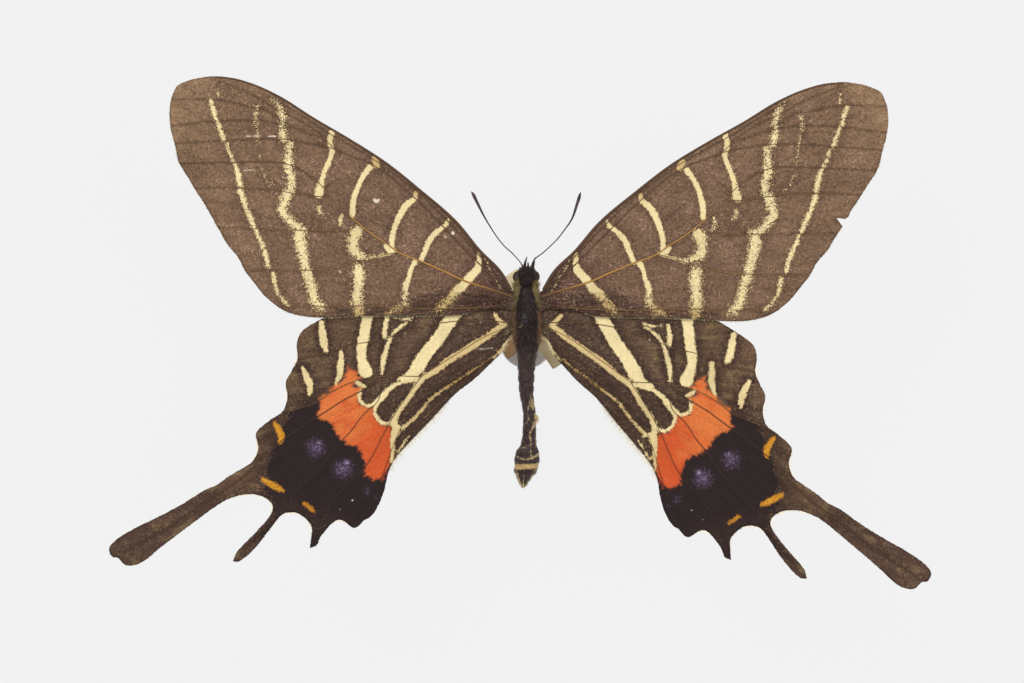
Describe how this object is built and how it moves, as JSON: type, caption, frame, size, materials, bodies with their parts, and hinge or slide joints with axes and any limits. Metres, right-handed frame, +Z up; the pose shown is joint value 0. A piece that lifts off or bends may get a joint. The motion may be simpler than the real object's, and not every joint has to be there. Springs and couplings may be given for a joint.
{
  "type": "pinned butterfly specimen",
  "caption": "Spread swallowtail butterfly with tailed, cream-banded brown wings, held flat on an insect pin above blank card labels and a small round foot.",
  "frame": {"origin": "centre of the flat underside of the round foot, on the surface it stands on", "axes": "+X towards the butterfly's right wings, +Y towards its head, +Z up along the pin"},
  "size_m": [0.1152, 0.0718, 0.039],
  "materials": {
    "wing": "matte",
    "body_hair": "matte",
    "limb": "satin",
    "card_tan": "matte",
    "card_brown": "matte",
    "foot_metal": "matte",
    "pin_steel": "satin"
  },
  "bodies": {
    "root": {"foot": "foot_metal", "pin": "pin_steel", "label_lower": "card_brown", "label_upper": "card_tan", "thorax": "body_hair", "abdomen": "body_hair", "head": "body_hair", "antenna_left": "limb", "antenna_right": "limb", "proboscis": "limb", "leg_front_left": "limb", "leg_front_right": "limb", "leg_middle_left": "limb", "leg_middle_right": "limb", "leg_hind_left": "limb", "leg_hind_right": "limb", "forewing_left": "wing", "forewing_right": "wing", "hindwing_left": "wing", "hindwing_right": "wing"}
  },
  "joints": []
}
